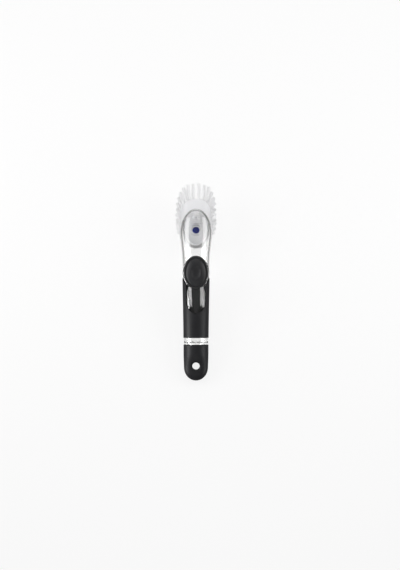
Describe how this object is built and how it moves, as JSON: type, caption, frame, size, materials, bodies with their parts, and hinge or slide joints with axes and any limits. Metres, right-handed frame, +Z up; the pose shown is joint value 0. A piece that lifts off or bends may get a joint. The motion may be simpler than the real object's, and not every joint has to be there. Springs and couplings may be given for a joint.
{
  "type": "soap dispensing dish wand",
  "caption": "Dish brush with a clear soap-filled handle, a thumb pump button, a screw cap with a hanging hole and a snap-off oval brush head.",
  "frame": {"origin": "centre of the part's box on the surface that it lies on: the heel of the bristles and the cap's underside touch it", "axes": "+Z up, +Y along the handle from the cap to the brush, tilted up by about 14 degrees towards the brush, +X across it to the right seen from the cap"},
  "size_m": [0.0554, 0.2624, 0.0702],
  "materials": {
    "clear_plastic": "clear, smooth and glossy",
    "clear_plate": "clear, smooth",
    "retainer_plastic": "milky clear",
    "black_grip": "soft-touch moulded rubber, semi-matte",
    "black_button": "soft-touch moulded rubber, satin",
    "black_plastic": "moulded, fine texture",
    "black_rubber": "matte",
    "seal_rubber": "matte translucent silicone",
    "blue_rubber": "satin silicone",
    "white_plastic": "moulded, satin",
    "bristle": "bundles of fine translucent nylon filaments",
    "staple_steel": "bright flat wire"
  },
  "bodies": {
    "wand": {"reservoir_body": "clear_plastic", "grip_sleeve": "black_grip", "button_bezel": "black_plastic", "pump_diaphragm": "black_rubber", "head_underplate": "clear_plate", "valve_retainer": "retainer_plastic", "outlet_valve": "blue_rubber", "spigot_oring": "seal_rubber"},
    "button": {"thumb_button": "black_button", "button_plunger": "black_plastic"},
    "cap_seal": {"cap_gasket": "seal_rubber"},
    "end_cap": {"cap_core": "black_plastic", "cap_cover": "black_grip"},
    "brush_head": {"brush_base": "white_plastic", "tuft_staples": "staple_steel", "outer_tufts": "bristle", "middle_tufts": "bristle", "inner_tufts": "bristle", "centre_tufts": "bristle"}
  },
  "joints": [
    {"name": "button_press", "type": "slide", "parent": "wand", "child": "button", "axis": [0, 0.2451, -0.9695], "range_m": [0, 0.005], "stiffness_N_per_m": 900, "deforming": ["pump_diaphragm"]},
    {"name": "cap_lift", "type": "slide", "parent": "wand", "child": "cap_seal", "axis": [0, -0.9695, -0.2451], "range_m": [0, 0.016]},
    {"name": "cap_twist", "type": "hinge", "parent": "cap_seal", "child": "end_cap", "pos_m": [0, -0.09226, 0.01721], "axis": [0, -0.9695, -0.2451], "range_deg": [0, 720]},
    {"name": "brush_release", "type": "slide", "parent": "wand", "child": "brush_head", "axis": [0, 0.5619, -0.8272], "range_m": [0, 0.03]}
  ],
  "couplings": [
    {"joint": "cap_lift", "follows": "cap_twist", "m_per_rad": 0.0012732}
  ]
}
